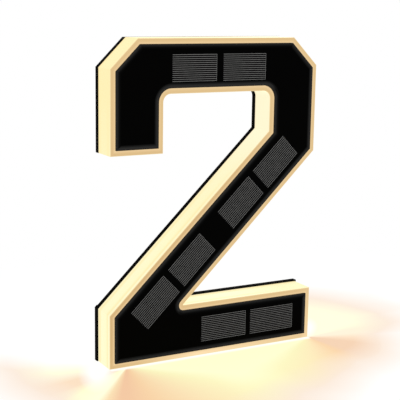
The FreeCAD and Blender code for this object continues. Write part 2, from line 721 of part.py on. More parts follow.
def led_jumpers():
    """Wire pairs from one light board to the next, in the order of the numeral's strokes."""
    strips = led_strips()
    y = Y_POCKET - WIRE_RADIUS - 0.05
    top_z = strips["top"][0][1]
    top_end = strips["top"][1] / 2
    hook_top = strips["hook"][0][1] + strips["hook"][1] / 2
    arm_top = strips["right"][0][1] + strips["right"][1] / 2
    arm_low = strips["right"][0][1] - strips["right"][1] / 2
    base_left = strips["base"][0][0] - strips["base"][1] / 2
    foot_turn_x = LEFT + 26.5

    def hook_to_top(side):
        return [(HOOK_X + side, y, hook_top), (HOOK_X + side, y, top_z - side), (-top_end, y, top_z - side)]

    def top_to_arm(side):
        return [(top_end, y, top_z + side), (ARM_X + side, y, top_z + side), (ARM_X + side, y, arm_top)]

    def arm_to_diagonal(side):
        x, z = diagonal_point(135.0, STROKE_MIDDLE + side)
        corner_z = z + (ARM_X + side - x) * math.tan(DIAGONAL_ANGLE)
        return [(ARM_X + side, y, arm_low), (ARM_X + side, y, corner_z), (x, y, z)]

    def diagonal_to_base(side):
        x, z = diagonal_point(30.0, STROKE_MIDDLE + side)
        corner_z = z - (x - foot_turn_x - side) * math.tan(DIAGONAL_ANGLE)
        base_z = strips["base"][0][1] - side
        turn_x = foot_turn_x + side
        return [(x, y, z), (turn_x, y, corner_z), (turn_x, y, base_z), (base_left, y, base_z)]

    jumpers = []
    for route in (hook_to_top, top_to_arm, arm_to_diagonal, diagonal_to_base):
        jumpers += wire_pair(route)
    return jumpers


def connector_places():
    """Solar, light and battery connectors along the control board's upper edge."""
    x, z = BOARD_PLACE
    return [(x + step, z + 7.8) for step in (-11.0, -4.0, 3.0)]


def solar_wires():
    """From the flexible circuit, through the front wall, to the control board."""
    x, z = wire_hole_place()
    connector_x, connector_z = connector_places()[0]
    y_over = Y_SEAM - 3.0

    def route(side):
        return [
            (x + side, Y_FLOOR, z),
            (x + side, y_over, z),
            (connector_x + side, y_over, connector_z),
            (connector_x + side, Y_SOCKET, connector_z),
        ]

    return wire_pair(route)


def led_wires():
    """From the control board to the base light board."""
    connector_x, connector_z = connector_places()[1]
    (strip_x, strip_z), strip_length, _ = led_strips()["base"]
    pad_x = strip_x - strip_length / 2 + 3.0
    y_over = Y_SEAM - 2.5

    def route(side):
        return [
            (connector_x + side, Y_SOCKET, connector_z),
            (connector_x + side, y_over, connector_z),
            (pad_x + side, y_over, strip_z),
            (pad_x + side, Y_LED_BOARD, strip_z),
        ]

    return wire_pair(route)


def battery_wires():
    """From the two battery contacts to the control board."""
    connector_x, connector_z = connector_places()[2]
    x, z = HOLDER_PLACE
    y_over = Y_BATTERY_WIRES
    tab_z = z + CONTACT_WIDTH / 2
    near_z = z + 8.3
    far_z = z + 10.3
    near_x = connector_x - WIRE_PAIR_HALF
    far_x = connector_x + WIRE_PAIR_HALF
    near = [
        (x - CONTACT_REACH, y_over, tab_z),
        (x - CONTACT_REACH, y_over, near_z),
        (near_x, y_over, near_z),
        (near_x, y_over, connector_z),
        (near_x, Y_SOCKET, connector_z),
    ]
    far = [
        (x + CONTACT_REACH, y_over, tab_z),
        (x + CONTACT_REACH, y_over, far_z),
        (far_x + 16.0, y_over, far_z),
        (far_x, y_over, connector_z),
        (far_x, Y_SOCKET, connector_z),
    ]
    return [tube(near, WIRE_RADIUS), tube(far, WIRE_RADIUS)]


os.makedirs("parts", exist_ok=True)

flex = cell_flex()
save("diffuser_body", diffuser_body())
save("front_panel", front_panel())
save("panel_adhesive", panel_adhesive(flex))
save("cell_flex", flex)
joint_depth = (Y_CELL + CELL_THICKNESS, Y_PANEL_REAR)
save("cell_solder_joints", [peg(place, SOLDER_RADIUS, *joint_depth) for place in solder_places()])
for number, (place, angle, length) in enumerate(cell_places(), start=1):
    wafer = block(place, length, CELL_WIDTH, Y_CELL, Y_CELL + CELL_THICKNESS, angle)
    save("solar_cell_%d" % number, wafer)
    save("contact_grid_%d" % number, contact_grid(place, angle, length))

save("back_plate", back_plate())
save("back_gasket", gasket_ring())
back_head = (Y_BACK - COUNTERBORE_DEPTH + SCREW_HEAD_HEIGHT, SCREW_HEAD_RADIUS, SCREW_HEAD_HEIGHT)
back_shank = (SCREW_THREAD, SCREW_LENGTH)
save("back_screws", [screw(place, *back_head, *back_shank) for place in SCREW_PLACES])

save("battery", battery_cell())
save("battery_holder", battery_holder())
save("battery_contacts", battery_contacts())

board_x, board_z = BOARD_PLACE
save("control_board", control_board())
board_head = (Y_BOARD_TOP + BOARD_SCREW_HEAD_HEIGHT, BOARD_SCREW_HEAD, BOARD_SCREW_HEAD_HEIGHT)
board_shank = (BOARD_SCREW_THREAD, BOARD_SCREW_LENGTH)
save("board_screws", [screw(place, *board_head, *board_shank) for place in post_places()])
save("charge_chip", chip((board_x - 8.0, board_z - 3.0), 5.0, 4.0, 1.6, 4))
save("storage_inductor", storage_inductor((board_x + 1.0, board_z - 5.0)))
capacitor_places = [(board_x + step, board_z + 2.6) for step in (-14.0, -9.0, -1.0, 2.6)]
capacitor_size = (2.0, 1.25, Y_BOARD_TOP, Y_BOARD_TOP + 1.2)
save("board_capacitors", [block(place, *capacitor_size) for place in capacitor_places])
save("wire_connectors", [connector(place) for place in connector_places()])

save("switch_body", switch_body())
save("switch_plunger", switch_plunger())
save("button_cap", button_cap())
save("button_seal", button_seal())

for name, (place, length, angle) in led_strips().items():
    save("led_board_" + name, block(place, length, LED_BOARD_WIDTH, Y_LED_BOARD, Y_POCKET, angle))
save("leds", [led_package(place, angle) for place, angle in led_places()])
save("led_jumpers", led_jumpers())
save("solar_wires", solar_wires())
save("led_wires", led_wires())
save("battery_wires", battery_wires())
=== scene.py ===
import math

import bmesh
import bpy
from mathutils import Matrix, Vector


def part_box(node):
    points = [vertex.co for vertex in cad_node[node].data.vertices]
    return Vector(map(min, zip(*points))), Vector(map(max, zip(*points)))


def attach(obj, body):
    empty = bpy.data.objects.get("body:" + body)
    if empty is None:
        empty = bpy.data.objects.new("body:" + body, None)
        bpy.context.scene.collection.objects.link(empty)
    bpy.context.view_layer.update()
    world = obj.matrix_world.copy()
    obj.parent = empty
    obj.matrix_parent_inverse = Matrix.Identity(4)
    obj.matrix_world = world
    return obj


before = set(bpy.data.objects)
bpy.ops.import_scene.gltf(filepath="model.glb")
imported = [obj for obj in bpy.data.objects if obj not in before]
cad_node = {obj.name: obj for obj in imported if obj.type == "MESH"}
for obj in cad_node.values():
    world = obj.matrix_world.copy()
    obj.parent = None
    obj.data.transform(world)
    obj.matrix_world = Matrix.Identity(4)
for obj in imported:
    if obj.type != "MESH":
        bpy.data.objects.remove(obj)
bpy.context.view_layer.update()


# Diffuser body. One opal moulding: rim, side walls and front wall in a milky plastic, with the warm glow
# of the lights inside painted into its emission colour, palest on the side walls and deeper on the rim that
# faces the street.

class Shade:
    """A shader socket that can be added, multiplied and compared; other nodes come from its node method."""

    MIX_FIRST, MIX_SECOND, MIX_COLOUR = 6, 7, 2  # places of a Mix node's colour sockets, which share names

    def __init__(self, tree, socket=None):
        self.tree = tree
        self.socket = socket

    def node(self, kind, inputs, output=0, stops=(), **settings):
        """Make a node, set it up, fill or link its sockets, and hand on one of its outputs."""
        made = self.tree.nodes.new(kind)
        for name, value in settings.items():
            setattr(made, name, value)
        if stops:
            elements = made.color_ramp.elements
            while len(elements) < len(stops):
                elements.new(1.0)
            for element, (position, colour) in zip(elements, stops):
                element.position = position
                element.color = (*colour, 1.0)
        for name, value in inputs.items():
            if isinstance(value, Shade):
                self.tree.links.new(value.socket, made.inputs[name])
            else:
                made.inputs[name].default_value = value
        return Shade(self.tree, made.outputs[output])

    def maths(self, operation, first, second=0.0, clamp=False):
        """One Math node on two values, of which either may be a plain number."""
        return self.node("ShaderNodeMath", {0: first, 1: second}, operation=operation, use_clamp=clamp)

    def __add__(self, other):
        return self.maths("ADD", self, other)

    __radd__ = __add__

    def __sub__(self, other):
        return self.maths("SUBTRACT", self, other)

    def __rsub__(self, other):
        return self.maths("SUBTRACT", other, self)

    def __mul__(self, other):
        return self.maths("MULTIPLY", self, other)

    __rmul__ = __mul__

    def __truediv__(self, other):
        return self.maths("DIVIDE", self, other)

    def __gt__(self, other):
        return self.maths("GREATER_THAN", self, other)

    def __lt__(self, other):
        return self.maths("LESS_THAN", self, other)

    def at_least(self, other):
        return self.maths("MAXIMUM", self, other)

    def at_most(self, other):
        return self.maths("MINIMUM", self, other)

    def clamped(self):
        return self.maths("ADD", self, clamp=True)

    def rise(self, start, span):
        """0 up to the start, then evenly up to 1 over the span; a negative span rises the other way."""
        return ((self - start) / span).clamped()

    def between(self, low, high):
        """This value, which runs from 0 to 1, laid on the range from low to high."""
        return self * (high - low) + low

    def contrast(self, amount):
        """This value drawn away from a half, or in towards it, and kept between 0 and 1."""
        return self.between(0.5 - amount / 2, 0.5 + amount / 2).clamped()

    def magnitude(self):
        return self.maths("ABSOLUTE", self)

    def length(self, *others):
        """The length of the arrow with this value and the others as its parts."""
        squares = self * self
        for other in others:
            squares = squares + other * other
        return self.maths("SQRT", squares)

    def half_turns(self, other):
        """The angle of the arrow with this value across and the other one ahead, in half turns."""
        return self.maths("ARCTAN2", self, other) / math.pi

    def split(self):
        return [self.node("ShaderNodeSeparateXYZ", {"Vector": self}, output=axis) for axis in "XYZ"]

    def noise(self, scale, detail=3.0, roughness=0.5):
        inputs = {"Vector": self, "Scale": scale, "Detail": detail, "Roughness": roughness}
        return self.node("ShaderNodeTexNoise", inputs)

    def ramp(self, *stops):
        """A colour that changes along this value, from stop to stop."""
        return self.node("ShaderNodeValToRGB", {"Fac": self}, stops=stops)

    def blend(self, first, second):
        """The first colour where this mask is 0 and the second where it is 1."""
        colours = [value if isinstance(value, Shade) else (*value, 1.0) for value in (first, second)]
        inputs = {"Factor": self, self.MIX_FIRST: colours[0], self.MIX_SECOND: colours[1]}
        return self.node("ShaderNodeMix", inputs, output=self.MIX_COLOUR, data_type="RGBA")


def start_material(name, **constants):
    """A material, its main shader node, and the object's own coordinates to build a pattern on."""
    material = bpy.data.materials.new(name)
    material.use_nodes = True
    tree = material.node_tree
    shader = tree.nodes["Principled BSDF"]
    for socket, value in constants.items():
        shader.inputs[socket.replace("_", " ")].default_value = value
    place = Shade(tree).node("ShaderNodeTexCoord", {}, output="Object")
    return material, shader, place


def feed(shader, socket, value):
    """Link a value to a socket of a shader node."""
    value.tree.links.new(value.socket, shader.inputs[socket])


def roughen(shader, height, distance, strength=0.5):
    """Raise the surface by a pattern, through a bump node."""
    bump = height.node("ShaderNodeBump", {"Strength": strength, "Distance": distance, "Height": height})
    feed(shader, "Normal", bump)


def dress(material, *names):
    """Put a material on CAD nodes in place of their plain one."""
    for name in names:
        slots = cad_node[name].data.materials
        slots.clear()
        slots.append(material)


RIM_PLANE, SEAM_PLANE = [corner.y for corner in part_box("diffuser_body")]
RIM_SLOPE_DEPTH = 0.00025
SIDE_LINE = (0.92, 0.84, 0.54)
SIDE_BAND = (0.92, 0.735, 0.37)
SIDE_MIDDLE = (0.92, 0.835, 0.51)
SIDE_UPPER = (0.91, 0.725, 0.35)
SIDE_ARM = (0.92, 0.815, 0.56)
SIDE_BASE_END = (0.85, 0.735, 0.385)
MILK_DARK = (0.10, 0.085, 0.055)
MILK_LIGHT = (0.13, 0.11, 0.07)
RIM_LOW = (0.575, 0.37, 0.155)
RIM_HIGH = (0.645, 0.440, 0.200)
RIM_FOOT_GLOW = (0.90, 0.665, 0.385)
RIM_INNER_LIGHT_LINE = (0.79, 0.565, 0.30)
RIM_EDGE_GLOW = (0.74, 0.58, 0.30)
FRONT_FACING = 0.9
EDGE_FACING = 0.4
CLOUD_SCALE = 55.0
SIDE_CLOUD = (-0.1, 0.2)
RIM_CLOUD = (-0.15, 0.15)
WHITER_FROM = 0.165
WHITER_OVER = 0.10
WHITER_MOST = 0.85
ARM_FROM = -0.010
ARM_OVER = 0.045
ARM_LOW = 0.060
ARM_RISE = 0.045
BASE_END_FROM = 0.020
BASE_END_OVER = 0.035
BASE_END_TOP = 0.055
RIM_LEAN = 0.9
RIM_DARK_UNTIL = -0.092
RIM_LIGHTER_OVER = 0.040
RIM_TOP_FROM = 0.118
RIM_TOP_OVER = 0.020
FOOT_RIM_HEIGHT = 0.0036
FOOT_GLOW_AT = -0.012
FOOT_GLOW_LEFT = 0.042
FOOT_GLOW_RIGHT = 0.105
END_RIM_FROM = 0.064
END_RIM_OVER = 0.006
END_RIM_TOP = 0.040
END_RIM_MOST = 0.6

opal, shader, place = start_material("opal_plastic_lit", Specular_IOR_Level=0.3, Emission_Strength=1.0)
x, y, z = place.split()
facing = -1.0 * place.node("ShaderNodeNewGeometry", {}, output="Normal").split()[1]
front = facing > FRONT_FACING
edge = (facing > EDGE_FACING) * (1.0 - front)
cloud = place.noise(CLOUD_SCALE)

# Painted glow on the walls, in soft bands from the rim back to the seam, whiter low down and under the
# right arm.
depth = y.rise(RIM_PLANE, SEAM_PLANE - RIM_PLANE)
lowness = z.rise(WHITER_FROM, -WHITER_OVER)
lower = depth.ramp(
    (0.0, SIDE_LINE), (0.10, SIDE_LINE), (0.18, SIDE_BAND), (0.34, SIDE_MIDDLE),
    (0.72, SIDE_LINE), (0.86, SIDE_BAND), (0.97, SIDE_LINE),
)
side = (lowness * WHITER_MOST + cloud.between(*SIDE_CLOUD)).clamped().blend(SIDE_UPPER, lower)
armward = x.rise(ARM_FROM, ARM_OVER) * z.rise(ARM_LOW, ARM_RISE)
side = armward.blend(side, SIDE_ARM)
baseward = x.rise(BASE_END_FROM, BASE_END_OVER) * (z < BASE_END_TOP)
side = baseward.blend(side, SIDE_BASE_END)

# The rim's painted glow, with painted shade to the lower left, a painted glow along the foot and a
# painted bright line of light on its inner slope.
slope = y.rise(RIM_PLANE, RIM_SLOPE_DEPTH)
rightward = (x - z * RIM_LEAN).rise(RIM_DARK_UNTIL, RIM_LIGHTER_OVER)
upward = z.rise(RIM_TOP_FROM, RIM_TOP_OVER)
flat = (rightward + upward + cloud.between(*RIM_CLOUD)).clamped().blend(RIM_LOW, RIM_HIGH)
foot_off = ((x - FOOT_GLOW_AT) / FOOT_GLOW_RIGHT).at_least((FOOT_GLOW_AT - x) / FOOT_GLOW_LEFT)
footward = (1.0 - foot_off).clamped() * (z < FOOT_RIM_HEIGHT)
endward = x.rise(END_RIM_FROM, END_RIM_OVER) * z.rise(END_RIM_TOP, -END_RIM_TOP) * END_RIM_MOST
flat = footward.at_least(endward).blend(flat, RIM_FOOT_GLOW)
rim = slope.blend(flat, RIM_INNER_LIGHT_LINE)

# Painted glow: the colours of the walls and the rim stand in for the light of the lights inside, given as
# emission.
painted_glow = edge.blend(front.blend(side, rim), RIM_EDGE_GLOW)
feed(shader, "Base Color", cloud.contrast(0.6).blend(MILK_DARK, MILK_LIGHT))
feed(shader, "Roughness", cloud.between(0.30, 0.44))
feed(shader, "Emission Color", painted_glow)
roughen(shader, place.noise(900.0, detail=2.0), distance=0.00004)
dress(opal, "diffuser_body")


# Front panel. Polished black sheet, cut to the numeral's outline and glued into the shell's recess;
# its bevelled edge has a painted sheen, a little greyer than the face, most of all along the lower right
# sides.

PANEL_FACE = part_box("front_panel")[0].y
BEVEL_DEPTH = 0.00045
BEVEL_DULLER = 0.2
BEVEL_LINE_CONTRAST = 60.0
SLANT_CONTRAST = 20.0
BLACK_FACE = (0.0004, 0.0004, 0.0003)
BLACK_FACE_CLOUD = (0.0010, 0.0009, 0.0008)
BEVEL_SHEEN_DIM = (0.0045, 0.0045, 0.0045)
BEVEL_SHEEN_GREY = (0.022, 0.022, 0.0215)
BEVEL_SHEEN_BRIGHT = (0.030, 0.0295, 0.0285)

black_gloss, shader, place = start_material("polished_black_sheet", Specular_IOR_Level=0.010)
bevel = place.split()[1].rise(PANEL_FACE, BEVEL_DEPTH)
rightwards, _, upwards = place.node("ShaderNodeNewGeometry", {}, output="True Normal").split()
sheen_lower_right = ((rightwards - upwards) * SLANT_CONTRAST + 0.5).clamped()
cloud = place.noise(45.0)
face = cloud.blend(BLACK_FACE, BLACK_FACE_CLOUD)
# Painted sheen: greyer colours on the bevel stand in for the reflection of the bright surround.
upper = bevel.ramp((0.0, BLACK_FACE), (0.14, BEVEL_SHEEN_DIM), (0.44, BEVEL_SHEEN_GREY), (1.0, BEVEL_SHEEN_GREY))
lower = bevel.ramp(
    (0.0, BLACK_FACE), (0.02, BEVEL_SHEEN_DIM), (0.10, BEVEL_SHEEN_GREY), (0.24, BEVEL_SHEEN_BRIGHT), (1.0, BEVEL_SHEEN_GREY),
)
on_bevel = (bevel * BEVEL_LINE_CONTRAST).clamped()
feed(shader, "Base Color", on_bevel.blend(face, sheen_lower_right.blend(upper, lower)))
feed(shader, "Roughness", cloud.between(0.10, 0.18) + bevel * BEVEL_DULLER)
roughen(shader, place.noise(140.0), distance=0.00002, strength=0.15)
dress(black_gloss, "front_panel")


# Solar cells. Dark blue-black coated silicon, one wafer to each pocket of the panel, with the fine
# mottling of the crystal under the coating.

CRYSTAL_SCALE = 500.0
CRYSTAL_SHARE = 0.5
SILICON_DARK = (0.0016, 0.0016, 0.0019)
SILICON_LIGHT = (0.0044, 0.0044, 0.0050)

silicon, shader, place = start_material("coated_silicon", Specular_IOR_Level=0.02)
crystals = place.node("ShaderNodeTexVoronoi", {"Vector": place, "Scale": CRYSTAL_SCALE}, output="Color")
cloud = place.noise(150.0)
mottle = (cloud.between(-0.1, 0.5) + crystals.split()[0] * CRYSTAL_SHARE).clamped()
feed(shader, "Base Color", mottle.blend(SILICON_DARK, SILICON_LIGHT))
feed(shader, "Roughness", cloud.between(0.22, 0.38))
roughen(shader, place.noise(1500.0), distance=0.00001)
dress(silicon, *sorted(name for name in cad_node if name.startswith("solar_cell_")))


# Contact grids. Silver paste printed on each cell as fourteen fingers and a thin bar, then fired, so
# the lines are dull, grainy and a little broken up.

PRINT_THIN = (0.190, 0.189, 0.183)
PRINT_FULL = (0.275, 0.273, 0.265)

silver, shader, place = start_material("fired_silver_print", Specular_IOR_Level=0.1)
cloud = place.noise(260.0, detail=4.0)
feed(shader, "Base Color", cloud.contrast(1.8).blend(PRINT_THIN, PRINT_FULL))
feed(shader, "Roughness", cloud.between(0.42, 0.58))
roughen(shader, cloud, distance=0.00001)
dress(silver, *sorted(name for name in cad_node if name.startswith("contact_grid_")))


# Back plate. Black moulded cover with a fine spark-eroded grain, screwed to the shell from behind; its
# edge shows as a thin dark line round the glowing sides.

def mottled(name, dark, light, clouds, roughness, grain, height, **constants):
    """A finish that varies softly in colour and sheen, with a fine grain raised by the given height.

    The clouds and the grain are given by their scale, which is higher for a finer pattern.
    """
    material, shader, place = start_material(name, **constants)
    cloud = place.noise(clouds)
    feed(shader, "Base Color", cloud.contrast(1.6).blend(dark, light))
    feed(shader, "Roughness", cloud.between(*roughness))
    roughen(shader, place.noise(grain, detail=4.0), distance=height)
    return material


moulded_black = mottled(
    "moulded_black_plastic", dark=(0.0006, 0.0005, 0.0004), light=(0.0018, 0.0016, 0.0013),
    clouds=70.0, roughness=(0.50, 0.66), grain=2600.0, height=0.00002, Specular_IOR_Level=0.006,
)
dress(moulded_black, "back_plate")


# Gasket. Grey silicone ring, moulded in the numeral's outline and laid in the groove of the back plate,
# where the shell's rear edge squeezes it.

silicone = mottled(
    "grey_silicone", dark=(0.16, 0.165, 0.17), light=(0.24, 0.245, 0.25),
    clouds=120.0, roughness=(0.45, 0.60), grain=1800.0, height=0.00002,
)
dress(silicone, "back_gasket")


# Back screws. Nine zinc-plated steel screws sunk in the back plate, each driven by the cross in its
# head; the plating is bright, with a fine grain and soft duller patches.

plated = mottled(
    "zinc_plated_steel", dark=(0.30, 0.31, 0.32), light=(0.52, 0.53, 0.54),
    clouds=400.0, roughness=(0.22, 0.42), grain=2400.0, height=0.00002, Metallic=1.0,
)
dress(plated, "back_screws")


# Button cap. Soft-touch rubber cap with a shallow dish, sunk in the back plate so that it isn't pressed
# by the wall; the silicone washer on its flange keeps the rain out.

soft_rubber = mottled(
    "soft_touch_rubber", dark=(0.020, 0.020, 0.021), light=(0.036, 0.036, 0.037),
    clouds=300.0, roughness=(0.55, 0.72), grain=3200.0, height=0.00004, Specular_IOR_Level=0.25,
)
dress(soft_rubber, "button_cap")
dress(silicone, "button_seal")


# Button mark. The common on-off sign, a broken ring and a bar, moulded proud in the button's dish and
# printed pale; it travels with the button.

BUTTON_LOW, BUTTON_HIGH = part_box("button_cap")
MARK_PLACE = Vector(((BUTTON_LOW.x + BUTTON_HIGH.x) / 2, BUTTON_HIGH.y, (BUTTON_LOW.z + BUTTON_HIGH.z) / 2))
MARK_SINK = 0.00026
MARK_RADIUS = 0.00150
MARK_LINE = 0.00036
MARK_GAP = math.radians(72.0)
BAR_LENGTH = 0.00150
BAR_LIFT = 0.00105
BAR_ROUNDING = 0.00012


def start_piece(name):
    """Name the primitive just added and go on in edit mode with nothing selected."""
    piece = bpy.context.active_object
    piece.name = name
    piece.data.name = name
    bpy.ops.object.mode_set(mode="EDIT")
    bpy.ops.mesh.select_mode(type="FACE")
    bpy.ops.mesh.select_all(action="DESELECT")
    return piece


def choose_faces(piece, test):
    """Select the faces whose centre, in the piece's own axes, passes the test."""
    mesh = bmesh.from_edit_mesh(piece.data)
    for face in mesh.faces:
        face.select_set(test(face.calc_center_median()))
    bmesh.update_edit_mesh(piece.data)


def end_piece(piece, body, material):
    """Clean the mesh, leave edit mode, put the piece's place in its mesh, and fix it to a body."""
    bpy.ops.mesh.select_all(action="SELECT")
    bpy.ops.mesh.remove_doubles(threshold=1e-7)
    bpy.ops.mesh.normals_make_consistent(inside=False)
    bpy.ops.object.mode_set(mode="OBJECT")
    bpy.ops.object.transform_apply(location=True, rotation=True, scale=True)
    bpy.ops.object.shade_smooth_by_angle(angle=math.radians(40.0))
    piece.data.materials.append(material)
    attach(piece, body)


pale_print = mottled(
    "pale_button_print", dark=(0.50, 0.50, 0.49), light=(0.66, 0.66, 0.64),
    clouds=900.0, roughness=(0.40, 0.55), grain=4000.0, height=0.00002,
)

bpy.ops.object.select_all(action="DESELECT")
bpy.ops.mesh.primitive_torus_add(
    location=MARK_PLACE - Vector((0.0, MARK_SINK, 0.0)), rotation=(math.pi / 2, 0.0, 0.0),
    major_radius=MARK_RADIUS, minor_radius=MARK_LINE / 2, major_segments=60, minor_segments=12,
)
mark_ring = start_piece("button_mark_ring")
choose_faces(mark_ring, lambda centre: abs(math.atan2(centre.x, centre.y)) < MARK_GAP / 2)
bpy.ops.mesh.delete(type="FACE")
bpy.ops.mesh.select_all(action="SELECT")
bpy.ops.mesh.fill_holes(sides=0)
end_piece(mark_ring, "button", pale_print)

bpy.ops.object.select_all(action="DESELECT")
bpy.ops.mesh.primitive_cube_add(size=1.0, location=MARK_PLACE + Vector((0.0, -MARK_SINK, BAR_LIFT)))
bpy.context.active_object.scale = (MARK_LINE, MARK_LINE, BAR_LENGTH)
bpy.ops.object.transform_apply(location=False, rotation=False, scale=True)
mark_bar = start_piece("button_mark_bar")
bpy.ops.mesh.select_all(action="SELECT")
bpy.ops.mesh.bevel(offset=BAR_ROUNDING, segments=4, affect="EDGES")
end_piece(mark_bar, "button", pale_print)


# Bonding film. Thin grey foam tape, cut to the panel's outline and round the cells' circuit; it holds the
# panel in the shell's recess.

foam_tape = mottled(
    "grey_foam_tape", dark=(0.045, 0.045, 0.048), light=(0.075, 0.075, 0.078),
    clouds=600.0, roughness=(0.75, 0.95), grain=2500.0, height=0.00006,
)
dress(foam_tape, "panel_adhesive")


# Cells' circuit. Amber film with copper inside, laid along the strokes and soldered to every cell
# through the panel's windows.

amber_film = mottled(
    "amber_polyimide", dark=(0.36, 0.13, 0.018), light=(0.48, 0.20, 0.035),
    clouds=180.0, roughness=(0.25, 0.40), grain=900.0, height=0.00002,
)
dress(amber_film, "cell_flex")

tin = mottled(
    "tin_solder", dark=(0.42, 0.42, 0.43), light=(0.60, 0.60, 0.61),
    clouds=700.0, roughness=(0.25, 0.50), grain=1500.0, height=0.00004, Metallic=1.0,
)
dress(tin, "cell_solder_joints")


# Battery. Round lithium cell in a shrunk blue sleeve, with bare nickel at both ends, in an open black
# cradle with a sprung plate at each end.

BATTERY_LOW, BATTERY_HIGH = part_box("battery")
BARE_BASE = 0.0004
BARE_TOP = 0.0016
SLEEVE_DARK = (0.010, 0.060, 0.180)
SLEEVE_LIGHT = (0.018, 0.090, 0.250)
NICKEL = (0.55, 0.54, 0.50)

sleeve, shader, place = start_material("blue_battery_sleeve")
along = place.split()[0]
bare = (along < BATTERY_LOW.x + BARE_BASE) + (along > BATTERY_HIGH.x - BARE_TOP)
cloud = place.noise(160.0)
film = cloud.contrast(1.4).blend(SLEEVE_DARK, SLEEVE_LIGHT)
feed(shader, "Base Color", bare.blend(film, NICKEL))
feed(shader, "Metallic", bare)
feed(shader, "Roughness", cloud.between(0.26, 0.40))
roughen(shader, place.noise(500.0), distance=0.00004)
dress(sleeve, "battery")

cradle_black = mottled(
    "black_cradle_plastic", dark=(0.016, 0.016, 0.017), light=(0.030, 0.030, 0.031),
    clouds=150.0, roughness=(0.40, 0.55), grain=2200.0, height=0.00003,
)
dress(cradle_black, "battery_holder")

nickel = mottled(
    "nickel_spring_plate", dark=(0.48, 0.47, 0.43), light=(0.64, 0.63, 0.59),
    clouds=500.0, roughness=(0.18, 0.34), grain=1800.0, height=0.00001, Metallic=1.0,
)
dress(nickel, "battery_contacts")


# Control board. Green board on four posts of the shell, with its charge chip, inductor, capacitors,
# wire connectors and the latching switch that the button works.

TRACK_PITCH = 0.0013
TRACK_FROM = 0.20
TRACK_OVER = 1.0 / 3.0
TRACK_SHARE = 0.6
MASK_DARK = (0.008, 0.085, 0.030)
MASK_LIGHT = (0.020, 0.150, 0.055)

board_green, shader, place = start_material("green_solder_mask")
inputs = {"Vector": place, "Scale": 1.0 / TRACK_PITCH}
tracks = place.node("ShaderNodeTexVoronoi", inputs, distance="MANHATTAN")
lines = tracks.rise(TRACK_FROM, TRACK_OVER)
cloud = place.noise(300.0)
mask = (lines * TRACK_SHARE + cloud * (1.0 - TRACK_SHARE)).clamped()
feed(shader, "Base Color", mask.blend(MASK_DARK, MASK_LIGHT))
feed(shader, "Roughness", cloud.between(0.24, 0.40))
roughen(shader, lines, distance=0.00003)
dress(board_green, "control_board")
dress(plated, "board_screws")
dress(cradle_black, "switch_body")

resin = mottled(
    "black_chip_resin", dark=(0.020, 0.020, 0.020), light=(0.035, 0.035, 0.035),
    clouds=800.0, roughness=(0.55, 0.75), grain=5000.0, height=0.00003,
)
dress(resin, "charge_chip")

ferrite = mottled(
    "grey_ferrite", dark=(0.055, 0.055, 0.058), light=(0.095, 0.095, 0.098),
    clouds=900.0, roughness=(0.60, 0.85), grain=4200.0, height=0.00004,
)
dress(ferrite, "storage_inductor")

ceramic = mottled(
    "tan_ceramic", dark=(0.33, 0.23, 0.13), light=(0.44, 0.32, 0.20),
    clouds=1200.0, roughness=(0.35, 0.50), grain=5200.0, height=0.00001,
)
dress(ceramic, "board_capacitors")

nylon = mottled(
    "cream_nylon", dark=(0.62, 0.58, 0.47), light=(0.74, 0.70, 0.60),
    clouds=500.0, roughness=(0.38, 0.52), grain=2600.0, height=0.00002,
)
dress(nylon, "wire_connectors", "switch_plunger")


# Light boards. White boards on the back plate's inner face, one to each stroke, with a row of warm
# white lights whose phosphor windows face the shell.

board_white = mottled(
    "white_solder_mask", dark=(0.70, 0.70, 0.68), light=(0.82, 0.82, 0.80),
    clouds=260.0, roughness=(0.30, 0.45), grain=1600.0, height=0.00001,
)
dress(board_white, *sorted(name for name in cad_node if name.startswith("led_board_")))

phosphor = mottled(
    "light_package", dark=(0.78, 0.66, 0.30), light=(0.88, 0.78, 0.44),
    clouds=900.0, roughness=(0.35, 0.50), grain=3000.0, height=0.00001,
    Emission_Color=(1.0, 0.80, 0.45, 1.0), Emission_Strength=0.6,
)
dress(phosphor, "leds")


# Wires. Pairs of thin stranded wires in soft covers, from the cells' circuit and the battery to the
# control board, on to the light boards, and from one light board to the next.

COVERS = {
    "led_jumpers": ((0.60, 0.60, 0.58), (0.74, 0.74, 0.72)),
    "solar_wires": ((0.45, 0.020, 0.015), (0.62, 0.035, 0.025)),
    "led_wires": ((0.012, 0.012, 0.013), (0.028, 0.028, 0.030)),
    "battery_wires": ((0.50, 0.33, 0.020), (0.66, 0.46, 0.040)),
}

for wires, (dark, light) in COVERS.items():
    cover = mottled(
        wires + "_cover", dark=dark, light=light,
        clouds=700.0, roughness=(0.35, 0.50), grain=2400.0, height=0.00002,
    )
    dress(cover, wires)


# Stage. A plain pale floor in an even white surround. The camera sees the floor fade to white away
# from the sign, and keeps the sign's shadow and a painted glow for the warm fans of light that leave its
# foot.

FLOOR_SIZE = 12.0
FLOOR_PALE = (0.90, 0.895, 0.88)
SEEN_NEAR = 0.88
SEEN_GAIN = 0.67
FADE_FROM = 0.10
FADE_OVER = 0.14
FOOT_LOW, FOOT_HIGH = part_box("diffuser_body")
FOOT_HALF = FOOT_HIGH.x
NO_DISTANCE = 0.00001
PATCH_SCALE = 22.0
PATCH_TURN = 0.03
PATCH_REACH = 0.25
LEFT_APEX = -0.061
RIGHT_APEX = 0.0726
FANS_MEET_OVER = 0.050
FAN_WIDEST = 4.0
FAN_START = -0.40
FAN_SPAN = 1.40
REACH_FRONT = 0.092
REACH_LEAN = 0.52
REACH_LEFT = 0.052
REACH_RIGHT = 0.048
REACH_RIGHT_BEHIND = 0.075
SIDEWAYS_OVER = 0.30
BEHIND_FROM = 0.40
BEHIND_OVER = 0.12
UNLIT_BEHIND_FROM = 0.54
UNLIT_BEHIND_OVER = 0.20
FAINT_FROM = 0.62
FAINT_OVER = 0.42
WHITE_FROM = 1.00
WHITE_OVER = 0.60
HOT_LINE = 0.0028
